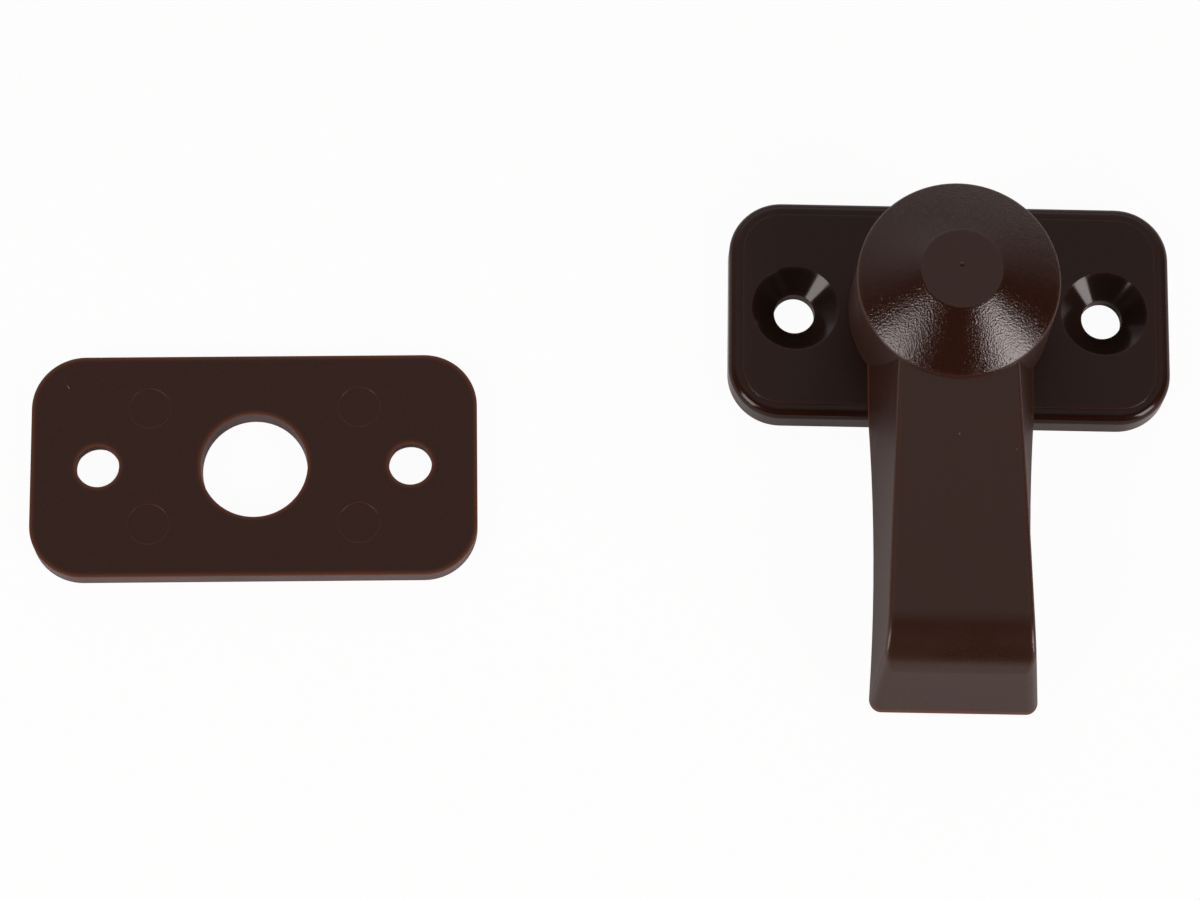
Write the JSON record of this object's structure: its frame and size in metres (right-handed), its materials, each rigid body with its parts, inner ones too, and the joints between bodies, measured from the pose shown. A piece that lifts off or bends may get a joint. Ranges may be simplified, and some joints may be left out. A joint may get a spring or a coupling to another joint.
{
  "type": "door turn button with packing plate",
  "caption": "Moulded door turn button: a lever that turns all the way round on a screw-on base plate, with a matching packing plate beside it.",
  "frame": {"origin": "on the lever's pivot axis, in the plane of the base plate's back face, midway between its two screw holes", "axes": "+Z away from the door along the pivot axis, +X along the base plate's screw holes, and the lever points along -Y at rest"},
  "size_m": [0.1283, 0.0596, 0.0187],
  "materials": {
    "brown_plastic": "dark chocolate brown, satin, with a fine spark-eroded grain on the hub's cone",
    "zinc_plated_steel": "bright zinc plating",
    "spring_steel": "dark tempered steel"
  },
  "bodies": {
    "base": {"base_plate": "brown_plastic", "packing_plate": "brown_plastic"},
    "lever": {"turn_lever": "brown_plastic", "pivot_screw": "zinc_plated_steel", "retaining_washer": "zinc_plated_steel", "spring_washer": "spring_steel"}
  },
  "joints": [
    {"name": "lever_turn", "type": "hinge", "parent": "base", "child": "lever", "pos_m": [0, 0, 0], "axis": [0, 0, 1], "continuous": true}
  ]
}
